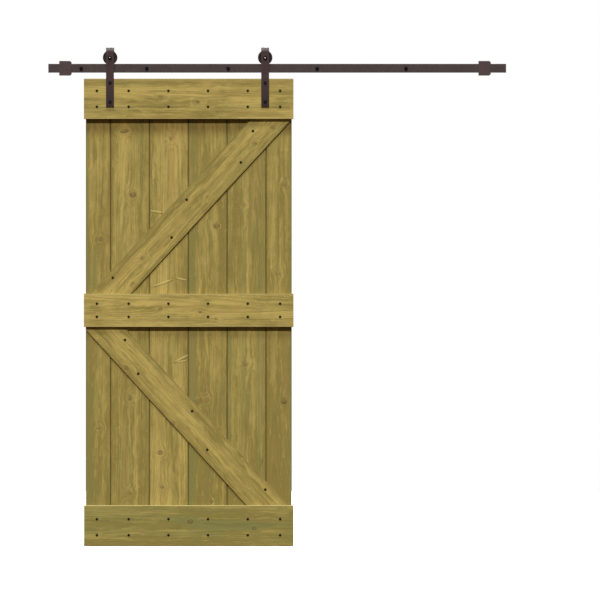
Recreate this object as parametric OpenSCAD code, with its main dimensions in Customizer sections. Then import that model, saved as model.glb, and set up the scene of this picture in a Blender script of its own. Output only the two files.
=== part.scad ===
// Sliding barn door: a leaf of upright boards held by three ledges and two braces, hung from
// two strap hangers whose wheels roll along a flat steel track.
// Millimetres. X runs to the right along the track, Y goes into the wall and Z is up.
// The origin is on the wall face, on the axis of the third track fixing.

/* [Leaf] */
// Height of the leaf
leaf_h = 2134; // [1900:1:2600]
// Width across the upright planks
boards_w = 940; // [740:1:1250]
// Width of the left-hand plank
first_plank_w = 112.5; // [80:0.5:150]
// Width of the right-hand plank
last_plank_w = 117.5; // [80:0.5:150]
// Thickness of the planks
plank_t = 16; // [13:0.5:25]
// Width of the V between two planks
vee_w = 6; // [2:0.5:10]
// Length of a plank's tongue
tongue_l = 6; // [3:0.5:9]
// Thickness of a plank's tongue
tongue_t = 4.5; // [3:0.5:6]
// Gap between the top of the leaf and the bottom of the track
leaf_gap = 28; // [14:1:60]

/* [Ledges] */
// Thickness of the ledges
ledge_t = 20; // [16:0.5:30]
// How far the ledges reach past the planks at each side
ledge_overhang = 8; // [2:0.5:20]
// Height of the top ledge
top_ledge_h = 184; // [150:1:230]
// Height of the middle ledge
middle_ledge_h = 152; // [120:1:200]
// Height of the bottom ledge
bottom_ledge_h = 187; // [110:1:230]
// Height of the middle ledge's lower edge above the foot of the leaf
middle_ledge_z = 1001; // [800:1:1200]
// Chamfer along the front edges of ledges and braces
wood_ease = 3; // [1:0.5:5]

/* [Braces] */
// Width of the braces
brace_w = 140; // [90:1:180]
// Thickness of the braces
brace_t = 6.5; // [6:0.5:20]
// Distance of a brace's heel from the side of the planks
brace_heel = 18; // [0:1:60]
// Upright end of the upper brace below the top ledge
upper_brace_nose = 3; // [1:1:30]
// Upright end of the lower brace below the middle ledge
lower_brace_nose = 14; // [1:1:30]

/* [Wood screws] */
// Diameter of the wood screws
screw_d = 4.8; // [3.5:0.1:6]
// Diameter of the wood screws' heads
screw_head_d = 9.5; // [8:0.1:12]
// Height of the wood screws' heads
screw_head_h = 2.6; // [1.5:0.1:4]
// How far a wood screw bites into the planks
screw_bite = 11; // [6:0.5:12]
// Distance between the two rows of screws in the top and bottom ledges
wide_ledge_rows = 73; // [40:1:80]
// Distance between the two rows of screws in the middle ledge
middle_ledge_rows = 60; // [30:1:90]
// How far the screws of the bottom ledge sit below its middle
bottom_screw_drop = 6; // [0:1:8]
// Distance between the two rows of screws in a brace
brace_rows = 66; // [30:1:80]

/* [Hangers] */
// Width of the hanger straps
strap_w = 36; // [28:1:50]
// Thickness of the hanger straps
strap_t = 5; // [4:0.5:8]
// How far the straps reach down over the leaf
strap_drop = 128; // [110:1:160]
// Depth of the upper strap bolts below the top of the leaf
upper_bolt_drop = 17; // [14:1:40]
// Depth of the lower strap bolts below the top of the leaf
lower_bolt_drop = 104; // [60:1:108]
// Diameter of the strap bolts
strap_bolt_d = 8; // [6:1:10]
// Distance of the left hanger's middle from the left end of the ledges
left_hanger_inset = 119; // [40:1:200]
// Distance of the right hanger's middle from the right end of the ledges
right_hanger_inset = 129; // [40:1:200]
// Gap between the wheel's sides and the strap
wheel_side_gap = 4; // [2:0.5:8]
// Gap between the top of the wheel and the inside of the strap's bend
wheel_top_gap = 8; // [6:0.5:16]
// How far the strap's rear leg reaches below the axle
rear_leg_drop = 20; // [14:1:25]

/* [Wheels] */
// Diameter of the wheels' flanges
flange_d = 66; // [56:1:90]
// Depth of the wheels' groove
groove_depth = 4.5; // [3:0.5:7]
// Width of the wheels
wheel_w = 20; // [17:0.5:30]
// Gap between each side of the track and the bottom of the groove
groove_side_gap = 0.9; // [0.5:0.1:2]
// Outside diameter of the ball bearings
bearing_od = 26; // [26:1:32]
// Width of the ball bearings
bearing_w = 8; // [7:0.5:10]
// Diameter of the axle bolts
axle_d = 10; // [8:0.5:10]
// Outside diameter of the sleeves beside the bearings
sleeve_d = 14; // [12.5:0.5:16]
// Number of balls in a bearing
ball_count = 8; // [6:1:8]

/* [Track] */
// Length of the track
track_l = 2090; // [1900:1:3000]
// Height of the track
track_h = 40; // [34:1:60]
// Thickness of the track
track_t = 6; // [5:0.5:10]
// Distance of the track's rear face from the wall
standoff = 35; // [30:1:60]
// Outside diameter of the track spacers
spacer_d = 22; // [16:1:30]
// Distance of the first fixing from the left end of the track
first_fixing = 150; // [130:1:250]
// Distance of the second fixing from the left end of the track
second_fixing = 450; // [350:1:600]
// Distance of the third fixing from the left end of the track
third_fixing = 821; // [700:1:950]
// Distance of the last fixing from the right end of the track
last_fixing_inset = 457; // [180:1:550]
// Diameter of the lag bolts over their thread
lag_d = 8; // [6:1:10]
// How much less the radius of a lag bolt's plain shank is
lag_waist = 0.2; // [0.1:0.1:0.5]
// Length of the lag bolts under the head
lag_l = 90; // [80:1:120]

/* [End stops] */
// Length of an end stop along the track
stop_l = 56; // [30:1:80]
// Height of an end stop
stop_h = 66; // [56:1:90]
// Thickness of an end stop in front of the track
stop_front_t = 5; // [4:0.5:8]
// Thickness of an end stop behind the track
stop_back_t = 6; // [4:0.5:10]
// Chamfer on the right-hand corners of an end stop
stop_chamfer = 6.5; // [1:0.5:10]
// Distance of the left stop from the left end of the track
left_stop_inset = 50; // [5:1:60]
// Distance of the right stop from the right end of the track
right_stop_inset = 70; // [5:1:100]
// Diameter of the stops' set screws
set_screw_d = 6; // [4:1:8]
// Gap between the left stop and the left wheel when the leaf is parked
park_gap = 143; // [5:1:300]

/* [Clearances] */
// Gap all round a shank in its hole
shank_gap = 0.05; // [0.02:0.01:0.1]
// Gap all round a bearing in its seat
seat_gap = 0.02; // [0.01:0.01:0.05]
// Gap between a wheel and the top of the track
tread_gap = 0.3; // [0.2:0.05:0.6]
// Gap around a tongue in its groove
tongue_gap = 0.3; // [0.2:0.05:0.6]
// Gap between two planks behind their V
plank_gap = 0.4; // [0.2:0.1:1]
// Gap all round the track in an end stop
stop_gap = 0.2; // [0.1:0.05:0.4]
// Gap all round a ball in its races and its cage
ball_gap = 0.12; // [0.08:0.01:0.2]

/* [Hidden] */
$fn = 64;
PLANKS = 6;
SPACERS = 5;
SIDES = ["left", "right"];

// Finishes
steel = [0.27, 0.23, 0.22];
black_steel = [0.10, 0.09, 0.09];
bright_steel = [0.72, 0.72, 0.74];
board_wood = [0.60, 0.53, 0.29];
ledge_wood = [0.65, 0.57, 0.32];

// Sizes of the hexagons and washers of a bolt of diameter d
function across_flats(d) = 1.6 * d;
function head_height(d) = 0.65 * d;
function nut_height(d) = 0.8 * d;
function washer_d(d) = 2.1 * d;
function wide_washer_d(d) = 2.8 * d;
washer_t = 1.6;
// Radii of the turned bevel on a bolt head, at its seat and its top, for each mm across flats
head_bevel = [0.75, 0.47];
// How far a bolt shows past its nut
bolt_end = 1;
// Width of the blunt end of a screw's point, for each mm of the screw's diameter
point_end = 0.1;

// Depths: the track, the wheels' middle plane and the strap's two legs
track_back = -standoff;
track_front = track_back - track_t;
wheel_y = (track_back + track_front) / 2;
strap_inner = wheel_w / 2 + wheel_side_gap;
front_leg_back = wheel_y - strap_inner;
rear_leg_front = wheel_y + strap_inner;
// The straps lie on the front of the ledges
ledge_front = front_leg_back;
plank_front = ledge_front + ledge_t;
plank_back = plank_front + plank_t;
brace_front = plank_front - brace_t;
strap_nut_y = plank_back + washer_t;

// Heights
track_top = track_h / 2;
leaf_top = -track_h / 2 - leaf_gap;
leaf_foot = leaf_top - leaf_h;
groove_d = flange_d - 2 * groove_depth;
axle_z = track_top + tread_gap + groove_d / 2;
bend_inner_r = strap_inner;
bend_z = axle_z + flange_d / 2 + wheel_top_gap - bend_inner_r;

// Places along the track
track_left = -third_fixing;
track_right = track_left + track_l;
last_fixing = track_l - last_fixing_inset;
fixings = [for (d = [first_fixing, second_fixing, third_fixing, (third_fixing + last_fixing) / 2,
    last_fixing]) track_left + d];
left_stop_x = track_left + left_stop_inset;
right_stop_x = track_right - right_stop_inset - stop_l;
ledge_w = boards_w + 2 * ledge_overhang;
left_hanger_x = left_stop_x + stop_l + park_gap + flange_d / 2;
leaf_left = left_hanger_x - left_hanger_inset + ledge_overhang;
leaf_right = leaf_left + boards_w;
right_hanger_x = leaf_right + ledge_overhang - right_hanger_inset;
hangers = [left_hanger_x, right_hanger_x];

// Planks: the left side of each, and of the one that would follow the last
plank_pitch = (boards_w - first_plank_w - last_plank_w) / (PLANKS - 2);
plank_x = [for (i = [0:PLANKS]) leaf_left + (i == 0 ? 0 : i == PLANKS ? boards_w
    : first_plank_w + (i - 1) * plank_pitch)];
vee_depth = vee_w / 2;
tongue_y = (plank_t + vee_depth) / 2;

// Ledges, as [lower edge, height, distance between screw rows, drop of the rows below the middle]
top_ledge_spec = [leaf_top - top_ledge_h, top_ledge_h, wide_ledge_rows, 0];
middle_ledge_spec = [leaf_foot + middle_ledge_z, middle_ledge_h, middle_ledge_rows, 0];
bottom_ledge_spec = [leaf_foot, bottom_ledge_h, wide_ledge_rows, bottom_screw_drop];
ledge_specs = [top_ledge_spec, middle_ledge_spec, bottom_ledge_spec];

// Screws along each brace, as [share of its length from the top, share of half the row distance]
upper_brace_stations = [[0.088, 0.7], [0.22, -1], [0.49, 1], [0.65, -1], [0.943, 1.2]];
lower_brace_stations = [[0.091, 0.66], [0.231, -1.15], [0.496, 0.86], [0.656, -1.2], [0.94, 1]];

// Braces, as [bay's lower edge, bay's height, nose, +1 for / and -1 for \, stations of the screws]
function upper_end(spec) = spec[0] + spec[1];
upper_bay_z = upper_end(middle_ledge_spec);
lower_bay_z = upper_end(bottom_ledge_spec);
upper_brace_spec = [upper_bay_z, top_ledge_spec[0] - upper_bay_z, upper_brace_nose, 1,
    upper_brace_stations];
lower_brace_spec = [lower_bay_z, middle_ledge_spec[0] - lower_bay_z, lower_brace_nose, -1,
    lower_brace_stations];
brace_specs = [upper_brace_spec, lower_brace_spec];

// Lean of a brace whose upper edge leaves the bay's corner at brace_heel and whose lower edge
// reaches the other side brace_nose below the bay's top
function brace_run() = boards_w - brace_heel;
function brace_rise(spec) = spec[1] - spec[2];
function brace_angle(spec) = atan2(brace_rise(spec), brace_run())
    + asin(brace_w / norm([brace_run(), brace_rise(spec)]));
function brace_length(spec) = spec[1] / sin(brace_angle(spec));

// Where the screws of a brace go through it
function brace_screw_xz(spec, station) =
    let (
        a = brace_angle(spec),
        along = -station[0] * brace_length(spec),
        across = station[1] * brace_rows / 2,
        x = boards_w - brace_w / sin(a) / 2 + along * cos(a) - across * sin(a),
        z = spec[1] + along * sin(a) + across * cos(a)
    ) [spec[3] > 0 ? leaf_left + x : leaf_right - x, spec[0] + z];
brace_screw_places = [for (spec = brace_specs) for (s = spec[4]) brace_screw_xz(spec, s)];

// Screws of a ledge: two rows, each pair set by eye a little off the middle line of its plank
ledge_screw_shift = [-5, -5, -1, 2, 6, 6];
function ledge_screw_places(spec) = [for (i = [0:PLANKS - 1]) for (side = [-1, 1])
    [(plank_x[i] + plank_x[i + 1]) / 2 + ledge_screw_shift[i],
     spec[0] + spec[1] / 2 - spec[3] + side * spec[2] / 2]];

// End stops and their set screws
stop_back = track_back + stop_gap + stop_back_t;
set_screw_shares = [0.25, 0.75];
set_screw_places = [for (x = [left_stop_x, right_stop_x]) for (share = set_screw_shares)
    [x + share * stop_l, 0]];

strap_bolt_places = [for (x = hangers) for (drop = [upper_bolt_drop, lower_bolt_drop])
    [x, leaf_top - drop]];

// Ball bearing
pitch_r = (axle_d + bearing_od) / 4;
ball_share = 0.149;
ball_r = ball_share * (bearing_od - axle_d);
// Depth of the races' lands from the circle of the balls, for each mm of a ball's radius
land_share = 0.7;
inner_land_r = pitch_r - land_share * ball_r;
outer_land_r = pitch_r + land_share * ball_r;
shield_t = 0.5;
shield_lip = 0.4;
clip_t = 1.1;
clip_depth = 1;
clip_mouth = 20;
shoulder_w = 2.5;
shoulder_r = bearing_od / 2 - shoulder_w;

// Wheels: how far the groove's sides lean out for each mm of depth, and the dish in each side
groove_flare = 0.45;
dish_hub_w = 3;
dish_rim_w = 4;
dish_depth = 1;

// A round bar along Y from y0 to y1
module bar(place, y0, y1, d)
    translate([place[0], y0, place[1]])
        rotate([-90, 0, 0])
            cylinder(d = d, h = y1 - y0);

// A hexagonal bar along Y from y0 to y1
module hexagon(place, y0, y1, flats)
    translate([place[0], y0, place[1]])
        rotate([-90, 0, 0])
            cylinder(d = flats / cos(30), h = y1 - y0, $fn = 6);

// A hexagonal bolt head that stands out from y towards the front, with a turned bevel
module hex_head(place, y, d)
    intersection() {
        hexagon(place, y - head_height(d), y, across_flats(d));
        translate([place[0], y, place[1]])
            rotate([90, 0, 0])
                cylinder(r1 = across_flats(d) * head_bevel[0], r2 = across_flats(d) * head_bevel[1],
                    h = head_height(d));
    }

// A nut seated on the rear face y
module nut(place, y, d)
    difference() {
        hexagon(place, y, y + nut_height(d), across_flats(d));
        bar(place, y - 1, y + nut_height(d) + 1, d + 2 * shank_gap);
    }

// A ring along Y from y0 to y1
module ring(place, y0, y1, outer, inner)
    difference() {
        bar(place, y0, y1, outer);
        bar(place, y0 - 1, y1 + 1, inner);
    }

// Track

module track_rail()
    color(steel)
        difference() {
            translate([track_left, track_front, -track_h / 2]) cube([track_l, track_t, track_h]);
            for (x = fixings) bar([x, 0], track_front - 1, track_back + 1, lag_d + 2 * shank_gap);
        }

module spacer(index)
    color(steel) ring([fixings[index], 0], track_back, 0, spacer_d, lag_d + 2 * shank_gap);

// A lag bolt: its plain shank runs through the track and spacer, its thread starts at the wall
module lag_bolt(x) {
    point_l = 1.5 * lag_d;
    under_head = track_front - washer_t;
    shank_end = under_head + lag_l - point_l;
    hex_head([x, 0], under_head, lag_d);
    bar([x, 0], under_head, 0, lag_d - 2 * lag_waist);
    bar([x, 0], 0, shank_end, lag_d);
    translate([x, shank_end, 0])
        rotate([-90, 0, 0])
            cylinder(d1 = lag_d, d2 = point_end * lag_d, h = point_l);
}

module lag_bolts() color(black_steel) for (x = fixings) lag_bolt(x);

module lag_washers()
    color(black_steel)
        for (x = fixings)
            ring([x, 0], track_front - washer_t, track_front, washer_d(lag_d), lag_d + 2 * shank_gap);

// Outline of an end stop, seen from the front
module end_stop_outline() {
    c = stop_chamfer;
    h = stop_h / 2;
    polygon([[0, -h], [stop_l - c, -h], [stop_l, c - h], [stop_l, h - c], [stop_l - c, h], [0, h]]);
}

module end_stop(x)
    color(steel)
        difference() {
            translate([x, stop_back, 0])
                rotate([90, 0, 0])
                    linear_extrude(stop_back - track_front + stop_front_t + stop_gap) end_stop_outline();
            translate([x - 1, track_front - stop_gap, -track_h / 2 - stop_gap])
                cube([stop_l + 2, track_t + 2 * stop_gap, track_h + 2 * stop_gap]);
            for (place = set_screw_places)
                bar(place, track_back, stop_back + 1, set_screw_d + 2 * shank_gap);
        }

// A headless screw with a hexagonal socket, tight against the back of the track
module set_screw(place)
    difference() {
        bar(place, track_back, stop_back, set_screw_d);
        hexagon(place, track_back + stop_back_t / 2, stop_back + 1, set_screw_d / 2);
    }

module stop_set_screws() color(black_steel) for (place = set_screw_places) set_screw(place);

// Leaf

// Section of a plank, seen from above: V edges in front, a groove at the left and a tongue at the right
module plank_section(index) {
    first = index == 0;
    last = index == PLANKS - 1;
    x0 = plank_x[index] + (first ? 0 : plank_gap / 2);
    x1 = plank_x[index + 1] - (last ? 0 : plank_gap / 2);
    front_left = first ? x0 : plank_x[index] + vee_w / 2;
    front_right = last ? x1 : plank_x[index + 1] - vee_w / 2;
    difference() {
        polygon([
            [front_left, 0], [front_right, 0], [x1, last ? 0 : vee_depth],
            [x1, plank_t], [x0, plank_t], [x0, first ? 0 : vee_depth]
        ]);
        if (!first)
            translate([x0 - 1, tongue_y - tongue_t / 2 - tongue_gap])
                square([tongue_l + tongue_gap + 1, tongue_t + 2 * tongue_gap]);
    }
    if (!last)
        translate([x1 - 1, tongue_y - tongue_t / 2])
            square([tongue_l + 1, tongue_t]);
}

// Holes that the wood screws and strap bolts need in the planks between x0 and x1
module plank_holes(x0, x1) {
    margin = tongue_l + strap_bolt_d;
    screws = concat([for (spec = ledge_specs) for (p = ledge_screw_places(spec)) p], brace_screw_places);
    for (p = screws)
        if (p[0] > x0 - margin && p[0] < x1 + margin)
            bar(p, plank_front - 1, plank_front + screw_bite, screw_d + 2 * shank_gap);
    for (p = strap_bolt_places)
        if (p[0] > x0 - margin && p[0] < x1 + margin)
            bar(p, plank_front - 1, plank_back + 1, strap_bolt_d + 2 * shank_gap);
}

module plank(index)
    color(board_wood)
        difference() {
            translate([0, plank_front, leaf_foot]) linear_extrude(leaf_h) plank_section(index);
            plank_holes(plank_x[index], plank_x[index + 1]);
        }

// Section of a board with its front edges eased; x is the depth from the front
module eased_section(thickness, width) {
    e = wood_ease;
    polygon([[0, e], [e, 0], [thickness, 0], [thickness, width], [e, width], [0, width - e]]);
}

// A board along X, from the origin, its front at y = 0 and its lower edge at z = 0
module eased_board(length, thickness, width)
    rotate([90, 0, 90])
        linear_extrude(length)
            eased_section(thickness, width);

module ledge(spec)
    color(ledge_wood)
        difference() {
            translate([leaf_left - ledge_overhang, ledge_front, spec[0]])
                eased_board(ledge_w, ledge_t, spec[1]);
            for (p = ledge_screw_places(spec))
                bar(p, ledge_front - 1, plank_front + 1, screw_d + 2 * shank_gap);
            for (p = strap_bolt_places)
                if (p[1] > spec[0] && p[1] < upper_end(spec))
                    bar(p, ledge_front - 1, plank_front + 1, strap_bolt_d + 2 * shank_gap);
        }

// A brace in its bay, leaning to the right; its ends are trimmed to the bay
module leaning_brace(spec) {
    a = brace_angle(spec);
    spare = brace_w;
    intersection() {
        translate([boards_w, 0, brace_rise(spec)])
            rotate([0, -a, 0])
                translate([-brace_length(spec) - 2 * spare, 0, 0])
                    eased_board(brace_length(spec) + 3 * spare, brace_t, brace_w);
        translate([0, -1, 0]) cube([boards_w, brace_t + 2, spec[1]]);
    }
}

module brace(spec)
    color(ledge_wood)
        difference() {
            translate([spec[3] > 0 ? leaf_left : leaf_right, brace_front, spec[0]])
                mirror([spec[3] > 0 ? 0 : 1, 0, 0])
                    leaning_brace(spec);
            for (s = spec[4])
                bar(brace_screw_xz(spec, s), brace_front - 1, plank_front + 1, screw_d + 2 * shank_gap);
        }

// A wood screw with a low head and a square drive, its head seated on the face y
module wood_screw(place, y) {
    top_d = 0.6 * screw_head_d;
    drive = top_d / 2;
    drive_depth = 0.6 * screw_head_h;
    point_l = 2 * screw_d / 3;
    shank_end = plank_front + screw_bite - point_l;
    difference() {
        translate([place[0], y, place[1]])
            rotate([90, 0, 0])
                cylinder(d1 = screw_head_d, d2 = top_d, h = screw_head_h);
        translate([place[0] - drive / 2, y - screw_head_h - 1, place[1] - drive / 2])
            cube([drive, 1 + drive_depth, drive]);
    }
    bar(place, y, shank_end, screw_d);
    translate([place[0], shank_end, place[1]])
        rotate([-90, 0, 0])
            cylinder(d1 = screw_d, d2 = point_end * screw_d, h = point_l);
}

module ledge_screws(spec) color(black_steel) for (p = ledge_screw_places(spec)) wood_screw(p, ledge_front);

module brace_screws() color(black_steel) for (p = brace_screw_places) wood_screw(p, brace_front);

// Hangers

// Outline of the bent strap, seen from its side as [depth, height]
module strap_outline() {
    outer_r = bend_inner_r + strap_t;
    rear_leg_foot = axle_z - rear_leg_drop;
    front_leg_foot = leaf_top - strap_drop;
    difference() {
        translate([wheel_y, bend_z]) circle(r = outer_r);
        translate([wheel_y, bend_z]) circle(r = bend_inner_r);
        translate([wheel_y - outer_r - 1, bend_z - outer_r - 1]) square([2 * outer_r + 2, outer_r + 1]);
    }
    translate([front_leg_back - strap_t, front_leg_foot]) square([strap_t, bend_z - front_leg_foot]);
    translate([rear_leg_front, rear_leg_foot]) square([strap_t, bend_z - rear_leg_foot]);
}

module hanger_strap(x)
    color(steel)
        difference() {
            translate([x - strap_w / 2, 0, 0])
                rotate([90, 0, 90])
                    linear_extrude(strap_w)
                        strap_outline();
            bar([x, axle_z], front_leg_back - strap_t - 1, rear_leg_front + strap_t + 1,
                axle_d + 2 * shank_gap);
            for (drop = [upper_bolt_drop, lower_bolt_drop])
                bar([x, leaf_top - drop], front_leg_back - strap_t - 1, front_leg_back + 1,
                    strap_bolt_d + 2 * shank_gap);
        }

module strap_bolts()
    color(black_steel)
        for (p = strap_bolt_places) {
            hex_head(p, front_leg_back - strap_t, strap_bolt_d);
            bar(p, front_leg_back - strap_t, strap_nut_y + nut_height(strap_bolt_d) + bolt_end, strap_bolt_d);
        }

module strap_washers()
    color(black_steel)
        for (p = strap_bolt_places)
            ring(p, plank_back, strap_nut_y, wide_washer_d(strap_bolt_d), strap_bolt_d + 2 * shank_gap);

module strap_nuts() color(black_steel) for (p = strap_bolt_places) nut(p, strap_nut_y, strap_bolt_d);

module axle_bolt(x)
    color(black_steel) {
        hex_head([x, axle_z], front_leg_back - strap_t, axle_d);
        bar([x, axle_z], front_leg_back - strap_t, rear_leg_front + strap_t + nut_height(axle_d) + bolt_end,
            axle_d);
    }

module axle_nut(x) color(black_steel) nut([x, axle_z], rear_leg_front + strap_t, axle_d);

module axle_sleeves(x)
    color(bright_steel) {
        ring([x, axle_z], front_leg_back, wheel_y - bearing_w / 2, sleeve_d, axle_d + 2 * shank_gap);
        ring([x, axle_z], wheel_y + bearing_w / 2, rear_leg_front, sleeve_d, axle_d + 2 * shank_gap);
    }

// Wheels and bearings, each turned about the axle

// Turns a section of [radius, offset from the wheel's middle] about the axle
module turned(x)
    translate([x, wheel_y, axle_z])
        rotate([-90, 0, 0])
            rotate_extrude()
                children();

module race(r) translate([pitch_r, 0]) circle(r = r);

module wheel_section() {
    half = wheel_w / 2;
    seat_r = bearing_od / 2 + seat_gap;
    rim_r = flange_d / 2;
    root_half = track_t / 2 + groove_side_gap;
    mouth_half = root_half + groove_flare * groove_depth;
    lip = (half - mouth_half) / 3;
    front = -bearing_w / 2;
    clip_y = bearing_w / 2;
    difference() {
        polygon([
            [shoulder_r, -half], [rim_r - lip, -half], [rim_r, lip - half], [rim_r, -mouth_half],
            [groove_d / 2, -root_half], [groove_d / 2, root_half],
            [rim_r, mouth_half], [rim_r, half - lip], [rim_r - lip, half],
            [seat_r, half], [seat_r, front], [shoulder_r, front]
        ]);
        translate([seat_r - 1, clip_y]) square([1 + clip_depth, clip_t + seat_gap]);
        // Shallow dish in each side of the wheel
        for (y = [-half, half])
            translate([seat_r + dish_hub_w, y - dish_depth])
                square([groove_d / 2 - seat_r - dish_hub_w - dish_rim_w, 2 * dish_depth]);
    }
}

module wheel(x) color(steel) turned(x) wheel_section();

module bearing_outer_ring(x)
    color(bright_steel)
        turned(x)
            difference() {
                translate([outer_land_r, -bearing_w / 2]) square([bearing_od / 2 - outer_land_r, bearing_w]);
                race(ball_r + ball_gap);
                for (y = [-bearing_w / 2 - 1, bearing_w / 2 - shield_t])
                    translate([outer_land_r - 1, y]) square([1 + shield_lip, shield_t + 1]);
            }

module bearing_inner_ring(x)
    color(bright_steel)
        turned(x)
            difference() {
                translate([axle_d / 2 + shank_gap, -bearing_w / 2])
                    square([inner_land_r - axle_d / 2 - shank_gap, bearing_w]);
                race(ball_r + ball_gap);
            }

module bearing_shields(x)
    color(bright_steel)
        turned(x)
            for (y = [-bearing_w / 2, bearing_w / 2 - shield_t])
                translate([inner_land_r + 2 * ball_gap, y])
                    square([outer_land_r + shield_lip - seat_gap - inner_land_r - 2 * ball_gap, shield_t]);

// Centres of the balls around the axle
module at_balls(x)
    for (i = [0:ball_count - 1])
        translate([x, wheel_y, axle_z])
            rotate([0, i * 360 / ball_count, 0])
                translate([pitch_r, 0, 0])
                    children();

module bearing_balls(x) color(bright_steel) at_balls(x) sphere(r = ball_r);

// The ring that spaces the balls, with a round pocket for each
module bearing_cage(x) {
    half_t = 0.35 * ball_r;
    half_w = 1.3 * ball_r;
    color(bright_steel)
        difference() {
            turned(x) translate([pitch_r - half_t, -half_w]) square([2 * half_t, 2 * half_w]);
            at_balls(x) rotate([0, 90, 0]) cylinder(r = ball_r + ball_gap, h = 4 * half_t, center = true);
        }
}

// An open spring clip in the wheel's groove, behind the bearing
module bearing_clip(x) {
    outer_r = bearing_od / 2 + clip_depth - seat_gap;
    color(black_steel)
        translate([x, wheel_y + bearing_w / 2, axle_z])
            rotate([-90, 0, 0])
                rotate([0, 0, clip_mouth / 2])
                    rotate_extrude(angle = 360 - clip_mouth)
                        translate([shoulder_r, seat_gap / 2])
                            square([outer_r - shoulder_r, clip_t]);
}

track_rail();
for (i = [1:SPACERS]) spacer(i - 1);
lag_bolts();
lag_washers();
end_stop(left_stop_x);  // end_stop_left
end_stop(right_stop_x);  // end_stop_right
stop_set_screws();
for (i = [1:PLANKS]) plank(i - 1);
ledge(top_ledge_spec);  // top_ledge
ledge(middle_ledge_spec);  // middle_ledge
ledge(bottom_ledge_spec);  // bottom_ledge
brace(upper_brace_spec);  // upper_brace
brace(lower_brace_spec);  // lower_brace
ledge_screws(top_ledge_spec);  // top_ledge_screws
ledge_screws(middle_ledge_spec);  // middle_ledge_screws
ledge_screws(bottom_ledge_spec);  // bottom_ledge_screws
brace_screws();
strap_bolts();
strap_washers();
strap_nuts();
for (side = [0:1]) {
    x = hangers[side];
    hanger_strap(x);
    axle_bolt(x);
    axle_nut(x);
    axle_sleeves(x);
    bearing_inner_ring(x);
    bearing_balls(x);
    bearing_cage(x);
    bearing_outer_ring(x);
    bearing_shields(x);
    bearing_clip(x);
    wheel(x);
}
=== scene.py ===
import math

import bmesh
import bpy
from bpy.props import FloatProperty, FloatVectorProperty, IntProperty, PointerProperty
from mathutils import Matrix, Vector, noise


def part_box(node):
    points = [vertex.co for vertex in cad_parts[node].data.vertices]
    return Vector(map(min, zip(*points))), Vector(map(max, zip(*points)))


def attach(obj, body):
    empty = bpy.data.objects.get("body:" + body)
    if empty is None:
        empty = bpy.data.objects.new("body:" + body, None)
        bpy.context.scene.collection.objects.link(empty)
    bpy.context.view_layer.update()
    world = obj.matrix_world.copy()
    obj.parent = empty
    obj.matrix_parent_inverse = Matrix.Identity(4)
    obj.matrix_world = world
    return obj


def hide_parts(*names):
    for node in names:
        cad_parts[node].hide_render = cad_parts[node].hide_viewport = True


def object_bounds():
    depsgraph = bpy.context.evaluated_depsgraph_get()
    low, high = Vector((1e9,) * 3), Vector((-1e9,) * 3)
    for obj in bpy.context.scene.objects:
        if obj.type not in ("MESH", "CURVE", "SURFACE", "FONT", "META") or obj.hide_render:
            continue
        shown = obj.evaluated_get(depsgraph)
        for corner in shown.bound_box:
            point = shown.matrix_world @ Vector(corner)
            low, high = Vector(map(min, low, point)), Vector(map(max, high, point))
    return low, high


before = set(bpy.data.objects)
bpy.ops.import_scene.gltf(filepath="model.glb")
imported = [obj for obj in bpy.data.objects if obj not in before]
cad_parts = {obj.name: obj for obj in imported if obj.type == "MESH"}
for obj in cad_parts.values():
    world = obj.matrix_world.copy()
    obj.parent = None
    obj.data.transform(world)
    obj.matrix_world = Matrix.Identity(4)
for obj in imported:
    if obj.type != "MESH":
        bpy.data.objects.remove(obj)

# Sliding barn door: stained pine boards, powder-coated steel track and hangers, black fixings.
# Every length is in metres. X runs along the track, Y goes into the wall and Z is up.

CAD_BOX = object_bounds()
MM = 0.001
SIDES = ("left", "right")
ACROSS = (1, 0, 0)
UPRIGHT = (0, 0, 1)
WHITE = (1, 1, 1)
SHARP = math.radians(30)  # an edge that turns by more is sharp
FLAT = math.radians(0.4)  # faces that turn by less are one flat face
SAME_POINT = 1e-6  # points nearer than this are merged
ON_PLANE = 1e-7  # points nearer than this to a cut lie on it
SHANK_GAP = 0.05 * MM  # room around a shank in its hole
# BARE_AND_GLINT marks bare steel, which on the axle heads is also a painted glint
BARE_AND_GLINT = 8.0  # worn mark of a face that the lathe left bare
HIDDEN = 0.05  # worn mark of an eased edge that nothing rubs

bl_info = {
    "name": "Sliding Barn Door",
    "version": (1, 0, 0),
    "blender": (4, 5, 0),
    "location": "View3D > Sidebar > Barn Door",
    "description": "Builds the finished pieces of a sliding barn door around its frame",
    "category": "Object",
}


# Settings

def shade(red, green, blue):
    """A scene-linear colour from display values of 0 to 255."""
    def linear(value):
        v = value / 255
        return v / 12.92 if v <= 0.04045 else ((v + 0.055) / 1.055) ** 2.4

    return linear(red), linear(green), linear(blue)


def colour_setting(name, description, default):
    return FloatVectorProperty(name=name, description=description, default=default,
                               subtype="COLOR", size=3, min=0, max=1)


def length_setting(name, description, default, high=0.05):
    return FloatProperty(name=name, description=description, default=default,
                         unit="LENGTH", min=0, max=high)


def angle_setting(name, description, degrees):
    return FloatProperty(name=name, description=description, default=math.radians(degrees),
                         subtype="ANGLE")


def light_setting(name, description, default, low=0, high=10):
    return FloatProperty(name=name, description=description, default=default, min=low, max=high)


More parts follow.
